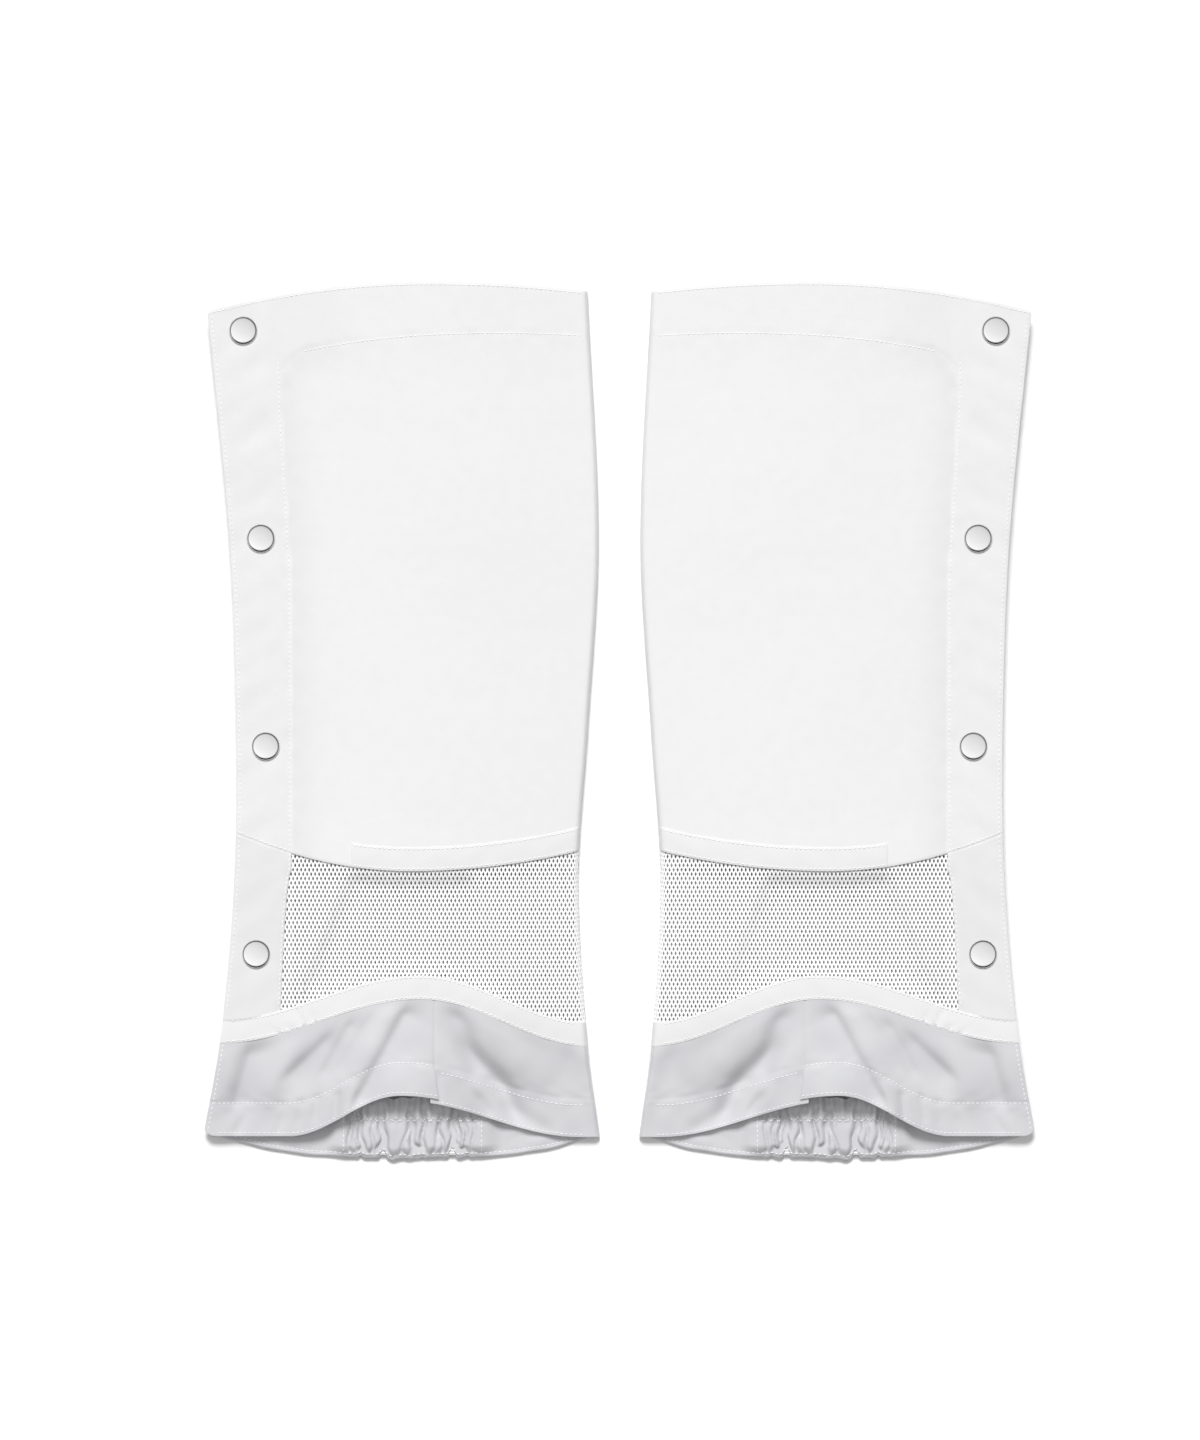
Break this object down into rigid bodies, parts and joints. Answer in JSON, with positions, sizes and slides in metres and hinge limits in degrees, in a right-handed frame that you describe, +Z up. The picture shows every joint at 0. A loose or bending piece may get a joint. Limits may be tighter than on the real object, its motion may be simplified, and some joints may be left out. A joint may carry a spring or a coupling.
{
  "type": "gaiters",
  "caption": "Pair of flat-folded leg gaiters with a cotton upper, a net vent, a flared satin cuff and a placket flap closed by domed snaps.",
  "frame": {"origin": "on the surface that the pair lies on, at the middle of the pair's outline", "axes": "+Z up from the surface through the fronts, +Y from the hems to the knee openings, +X towards the right gaiter"},
  "size_m": [0.4166, 0.439, 0.0151],
  "materials": {
    "cotton": "plain-woven white cotton",
    "tape": "twill tape",
    "net": "knitted net with staggered holes",
    "satin": "satin, soft sheen",
    "elastic": "braided elastic",
    "nickel": "polished"
  },
  "bodies": {
    "left_back": {"left_back_panel": "cotton", "left_back_upper_tape": "tape", "left_back_net": "net", "left_back_lower_tape": "tape", "left_back_cuff": "satin", "left_cuff_elastic": "elastic", "left_underlap": "cotton", "left_snap_stud_1": "nickel", "left_snap_stud_2": "nickel", "left_snap_stud_3": "nickel", "left_snap_stud_4": "nickel"},
    "left_front": {"left_front_panel": "cotton", "left_top_facing": "cotton", "left_front_upper_tape": "tape", "left_front_net": "net", "left_front_lower_tape": "tape", "left_front_cuff_inner": "satin", "left_front_cuff_outer": "satin"},
    "left_flap": {"left_flap_placket": "cotton", "left_flap_net_placket": "cotton", "left_flap_tape": "tape", "left_flap_cuff": "satin", "left_snap_cap_1": "nickel", "left_snap_socket_1": "nickel", "left_snap_cap_2": "nickel", "left_snap_socket_2": "nickel", "left_snap_cap_3": "nickel", "left_snap_socket_3": "nickel", "left_snap_cap_4": "nickel", "left_snap_socket_4": "nickel"},
    "right_back": {"right_back_panel": "cotton", "right_back_upper_tape": "tape", "right_back_net": "net", "right_back_lower_tape": "tape", "right_back_cuff": "satin", "right_cuff_elastic": "elastic", "right_underlap": "cotton", "right_snap_stud_1": "nickel", "right_snap_stud_2": "nickel", "right_snap_stud_3": "nickel", "right_snap_stud_4": "nickel"},
    "right_front": {"right_front_panel": "cotton", "right_top_facing": "cotton", "right_front_upper_tape": "tape", "right_front_net": "net", "right_front_lower_tape": "tape", "right_front_cuff_inner": "satin", "right_front_cuff_outer": "satin"},
    "right_flap": {"right_flap_placket": "cotton", "right_flap_net_placket": "cotton", "right_flap_tape": "tape", "right_flap_cuff": "satin", "right_snap_cap_1": "nickel", "right_snap_socket_1": "nickel", "right_snap_cap_2": "nickel", "right_snap_socket_2": "nickel", "right_snap_cap_3": "nickel", "right_snap_socket_3": "nickel", "right_snap_cap_4": "nickel", "right_snap_socket_4": "nickel"}
  },
  "joints": [
    {"name": "left_front_open", "type": "hinge", "parent": "left_back", "child": "left_front", "pos_m": [-0.0098, 0, 0.00095], "axis": [0, 1, 0], "range_deg": [0, 80]},
    {"name": "left_flap_peel", "type": "hinge", "parent": "left_front", "child": "left_flap", "pos_m": [-0.16548, 0, 0.0075], "axis": [0, 1, 0], "range_deg": [0, 165]},
    {"name": "right_front_open", "type": "hinge", "parent": "right_back", "child": "right_front", "pos_m": [0.0098, 0, 0.00095], "axis": [0, -1, 0], "range_deg": [0, 80]},
    {"name": "right_flap_peel", "type": "hinge", "parent": "right_front", "child": "right_flap", "pos_m": [0.16548, 0, 0.0075], "axis": [0, -1, 0], "range_deg": [0, 165]},
    {"name": "pair_spread", "type": "slide", "parent": "left_back", "child": "right_back", "axis": [1, 0, 0], "range_m": [0, 0.15]}
  ]
}
